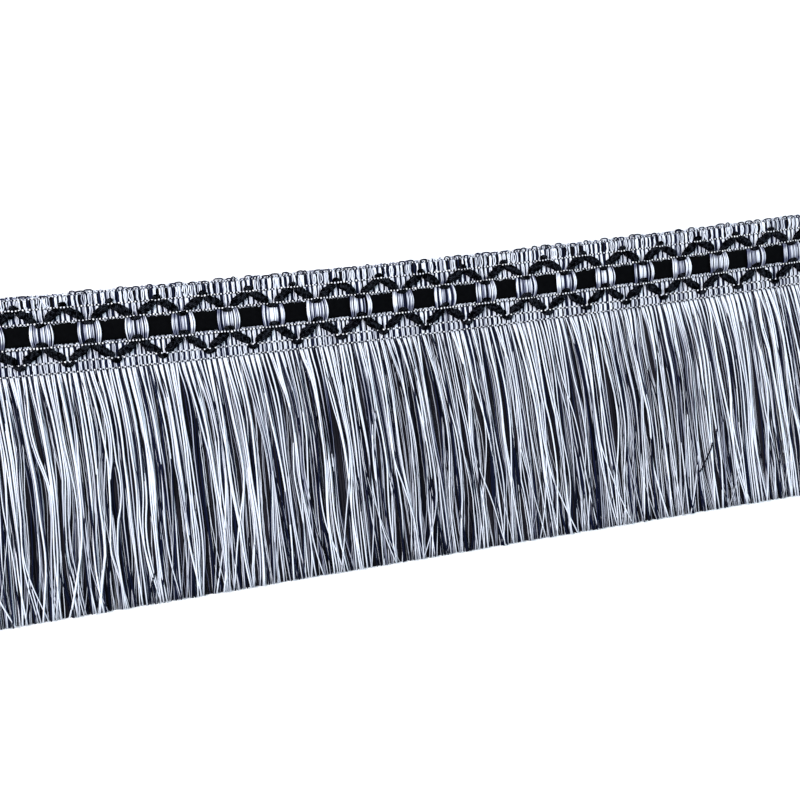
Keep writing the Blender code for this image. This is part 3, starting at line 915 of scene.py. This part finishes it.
def fringePaths(roots, settled, bundle, z, seed, style):
    # settled is where each yarn would hang in an even sheet
    chance = np.random.default_rng(seed)
    n = len(roots)
    t = np.linspace(0, 1, style["stations"])
    knots = len(fringe["yarnSway"])
    atKnots = t * (knots - 1)
    opened = fringe["spread"][0] * smoothStep(t / fringe["spread"][1])
    start = roots[:, None] * (1 - opened) + settled[:, None] * opened
    x = start + flatPlace(roots, lowerEdge(roots))[0][:, None] - roots[:, None] + meanPath(roots, t)

    # neighbours sway together in locks and in bundles, and each yarn also by itself
    lock = np.stack([softNoise(roots, fringe["lockSpacing"], 100 + k) for k in range(knots)], axis=1)
    together = np.random.default_rng(200).normal(size=(bundle.max() + 1, knots))
    alone = chance.normal(size=(n, knots))
    above, own = fringe["follow"]
    for wander in (together, alone):
        for k in range(1, knots):
            wander[:, k] = above * wander[:, k - 1] + own * wander[:, k]
    sway = lock * fringe["lockSway"] + together[bundle] * fringe["bundleSway"] + alone * fringe["yarnSway"]
    x = x + style["sway"] * curveThrough(sway, atKnots)

    v = lay["headingWidth"] + t * (lay["cutDepth"] - lay["headingWidth"])
    for topS, bottomS, topV, bottomV, width in fringe["partings"]:
        down = (v - topV) / (bottomV - topV)
        line = topS + (bottomS - topS) * down
        halfway = np.abs(down - 0.5).argmin()
        side = np.sign(x[:, halfway] - line[halfway])[:, None]
        opening = np.sin(math.pi * np.clip(down, 0, 1)) ** 0.8
        x = pushApart(x, line, style["part"] * width * opening, fringe["partingReach"], side)

    stray = chance.uniform(size=(n, 1)) < style["stray"]
    reach = fringe["strayReach"] * chance.uniform(-1, 1, (n, 1))
    # strays near the trim's ends fall inwards
    nearLeft = roots[:, None] < leftEnd + fringe["strayReach"]
    nearRight = roots[:, None] > rightEnd - fringe["strayReach"]
    reach = np.where(nearLeft, np.abs(reach), np.where(nearRight, -np.abs(reach), reach))
    begin = chance.uniform(*fringe["strayFrom"], (n, 1))
    x = x + stray * reach * np.clip((t - begin) / (1 - begin), 0, 1) ** 1.8
    ripples = t * chance.uniform(*fringe["crimps"], (n, 1)) + chance.uniform(0, 1, (n, 1))
    x = x + style["crimp"] * np.sin(2 * math.pi * ripples)
    top = flatPlace(roots, lowerEdge(roots))[1]
    cut = lay["cutSlope"] * x[:, -1] - lay["cutDepth"] + fringe["cutUneven"] * chance.normal(size=n)
    y = top[:, None] + t * (cut - top)[:, None]
    height = z[:, None] + stray * style["strayLift"] * smoothStep(t * 2)
    height = height + style["weave"] * np.sin(2 * math.pi * (t * fringe["weaves"] + chance.uniform(0, 1, (n, 1))))
    gather = np.zeros(x.shape)
    for topS, bottomS, topV, bottomV, reach, strength in fringe["gathers"]:
        down = (v - topV) / (bottomV - topV)
        line = topS + (bottomS - topS) * down
        gather += strength * np.exp(-((x - line) / reach) ** 2) * np.sin(math.pi * np.clip(down, 0, 1)) ** 0.6
    height = height + style["lift"] * fringe["gatherLift"] * gather
    height = weft["low"] + (height - weft["low"]) * smoothStep(t / 0.06)  # from the wefts' own height
    height = np.clip(height, *fringe["heights"])
    return np.stack([x + shiftX, y + shiftY, height], axis=-1) * mm, gather, stray


def fringePiece(name, roots, settled, bundle, material, seed, style):
    chance = np.random.default_rng(seed + 1)
    lowZ, highZ = style["z"]
    z = chance.uniform(lowZ, highZ, len(roots))
    paths, gather, stray = fringePaths(roots, settled, bundle, z, seed, style)
    t = np.linspace(0, 1, style["stations"])
    middleS, reach = fringe["middle"]
    middle = 1 - smoothStep(np.abs(roots - middleS) / reach)
    size = (1 + style["fuller"] * (middle - 0.5)) * chance.uniform(*fringe["sizes"], len(roots))
    width = style["half"][0] * size[:, None] * (1 + style["taper"] * (0.5 - t))
    # painted shade: yarns that lie deeper are darker, as in the shade of the others; and all are brighter near the
    # heading
    dark, light = style["tone"]
    depth = fringe["depthShare"] * (z - lowZ) / (highZ - lowZ)
    byChance = (1 - fringe["depthShare"]) * chance.beta(0.6, 0.6, len(roots))  # mostly dark or light
    tone = dark + (light - dark) * (depth + byChance)
    tone = tone[:, None] + style["fade"] * (0.5 - t) + fringe["gatherTone"] * gather + fringe["strayTone"] * stray
    tone = tone + style["rootShare"] * (1 - smoothStep(t / 0.2)) * (fringe["rootTone"] - tone)
    return yarnPiece(name, paths, width, style["half"][1], style["sides"], material, seed + 2, tone, style["edge"])


# The layers, from the underside up, in mm. half is half width and half height, perMm the yarns in each mm of
# trim, bundle the width that sways together. Yarns sway, part, stray, ripple sideways (crimp) and pass over
# and under each other (weave). taper is how much wider they are at the root than at the cut, fade how much
# brighter, fuller how much wider in the trim's middle, rootShare how far the tone turns to rootTone at the root.
# edge is the painted shade on a yarn's sides, given to yarnPiece as edgeShade
still = {"sway": 0.1, "part": 0.0, "stray": 0.0, "crimp": 0.0, "weave": 0.0, "taper": 0.0, "fade": 0.0,
         "fuller": 0.0, "lift": 0.0, "rootShare": 0.0, "strayLift": 0.3,
         "sides": 3, "stations": 8, "bundle": 2.0, "tone": (0.0, 1.0), "edge": 0.5}
lively = {**still, "sway": 1.0, "part": 1.0, "weave": 0.3, "stations": 22, "sides": 4}
layers = {
    "under": {**still, "z": (0.20, 0.30), "half": (0.20, 0.12), "perMm": 1.3},
    "back": {**still, "z": (0.40, 0.65), "half": (0.34, 0.14), "perMm": 2.8},
    # the shade layer's lower tone is painted shade for white yarns lying deeper
    "shade": {**still, "z": (0.75, 1.20), "half": (0.16, 0.14), "perMm": 1.5, "tone": (0.0, 1.1), "edge": 0.45,
              "sway": 0.8, "part": 0.25, "stray": 0.07, "strayLift": 0.8, "crimp": 0.08, "weave": 0.1,
              "bundle": 2.3, "stations": 28},
    "black": {**lively, "z": (1.00, 1.70), "half": (0.28, 0.20), "stray": 0.05, "taper": -0.3, "fuller": 0.15,
              "lift": -1.0},
    "white": {**lively, "z": (1.00, 1.85), "half": (0.29, 0.26), "stray": 0.18, "taper": 0.3, "tone": (0.3, 1.85),
              "fade": 0.15, "fuller": -0.24, "edge": 0.85, "lift": 1.0, "rootShare": 0.7},
}


def evenLayer(name, material, seed, style):
    chance = np.random.default_rng(seed + 7)
    count = int(trimLength * style["perMm"])
    places = (np.arange(count) + 0.5 + chance.uniform(-0.4, 0.4, count)) / count
    roots = leftEnd + 0.3 + places * (trimLength - 0.6)  # just inside both ends
    bundle = np.floor((roots - leftEnd) / style["bundle"]).astype(int)
    return fringePiece(name, roots, roots, bundle, material, seed, style)


def strandsOf(weftRoots, counts, step):
    # a bundle of two wefts hangs as one strand, a bundle of three as two
    ends = np.cumsum(counts)
    left, right = weftRoots[ends - counts] - step / 2, weftRoots[ends - 1] + step / 2
    strands = counts - 1
    bundle = np.repeat(np.arange(len(counts)), strands)
    place = np.concatenate([(np.arange(n) + 0.5) / n for n in strands])
    return left[bundle] + place * (right - left)[bundle], bundle


whiteRoots, whiteBundle = strandsOf(whiteRoots, whiteCounts, weft["whiteStep"])
blackRoots, blackBundle = strandsOf(blackRoots, blackCounts, weft["blackStep"])
blackBundle = blackBundle + weft["bundles"]
roots = np.concatenate([whiteRoots, blackRoots])
settled = np.empty(len(roots))
settled[np.argsort(roots)] = leftEnd + (np.arange(len(roots)) + 0.5) / len(roots) * trimLength
fringePieces = [
    fringePiece("fringeFrontWhite", whiteRoots, settled[:len(whiteRoots)], whiteBundle, whiteYarn, 71,
                layers["white"]),
    fringePiece("fringeFrontBlack", blackRoots, settled[len(whiteRoots):], blackBundle, blackYarn, 74,
                layers["black"]),
    evenLayer("fringeShadeWhite", whiteYarn, 77, layers["shade"]),
    evenLayer("fringeBackBlack", brownBlackYarn, 80, layers["back"]),
    evenLayer("fringeUnderWhite", whiteYarn, 83, layers["under"]),
]

# one black thread end lies loose across the fringe
loose = {
    "s": (118.6, 118.0, 116.6, 115.6, 114.2, 113.4, 112.6, 112.0, 111.2),
    "v": (91.0, 93.0, 95.6, 97.4, 99.6, 101.0, 102.0, 102.6, 102.5),
    "z": 2.70,
    "half": (0.36, 0.28),
    "sides": 5,
    "stations": 33,
}
places = np.linspace(0, len(loose["s"]) - 1, loose["stations"])
looseRoute = onTrim(curveThrough(loose["s"], places), curveThrough(loose["v"], places), loose["z"])
looseThread = yarnPiece("looseThread", looseRoute[None], *loose["half"], loose["sides"], darkThreadAndHoleShade, seed=95)
print("fringe hung")


parts = [groundCloth, whiteWeft, blackWeft, whitePicots, blackPicots, chainStitches, darkStitchesAndHoleShade, edgeLoops]
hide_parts("heading")
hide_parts("ribbon")
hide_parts("upper_cord")
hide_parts("lower_cord")
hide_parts("fringe")
slots = [(parts, "heading_yarn"), ([*fringePieces, looseThread], "fringe_yarn"),
         ([upperGimp, lowerGimp], "gimp_cord"), ([ribbon], "ribbon_satin")]
total = 0
for pieces, slot in slots:
    for piece in pieces:
        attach(piece, "root")
        triangles = sum(len(p.vertices) - 2 for p in piece.data.polygons)
        total += triangles
        print(piece.name, triangles, "triangles")
print("all pieces", total, "triangles")

low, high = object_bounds()
